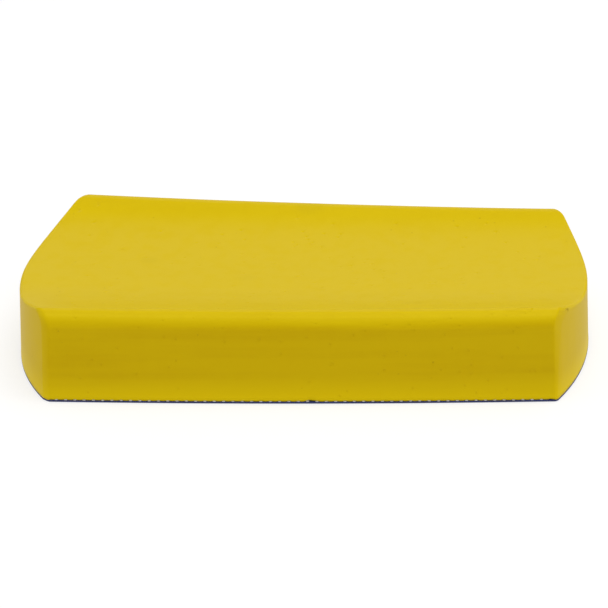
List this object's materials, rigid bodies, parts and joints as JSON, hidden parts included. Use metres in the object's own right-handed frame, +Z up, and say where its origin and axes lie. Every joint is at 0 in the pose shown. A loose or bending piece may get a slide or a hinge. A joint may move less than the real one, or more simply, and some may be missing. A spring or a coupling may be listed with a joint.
{
  "type": "block grout float",
  "caption": "Hand-held block grout float: a yellow moulded foam grip with a dished top and bowed ends, on a thin navy hook-and-loop facing.",
  "frame": {"origin": "middle of the underside's bounding box, on the surface that the float lies on", "axes": "+X along the float's length to the right, -Y towards the user, +Z up through the dished top"},
  "size_m": [0.2504, 0.1246, 0.0427],
  "materials": {
    "foam": "satin moulded skin",
    "scrim": "matt woven yarn",
    "facing": "matt woven hook tape"
  },
  "bodies": {
    "root": {"foam_block": "foam", "backing_scrim": "scrim", "hook_facing": "facing"}
  },
  "joints": []
}
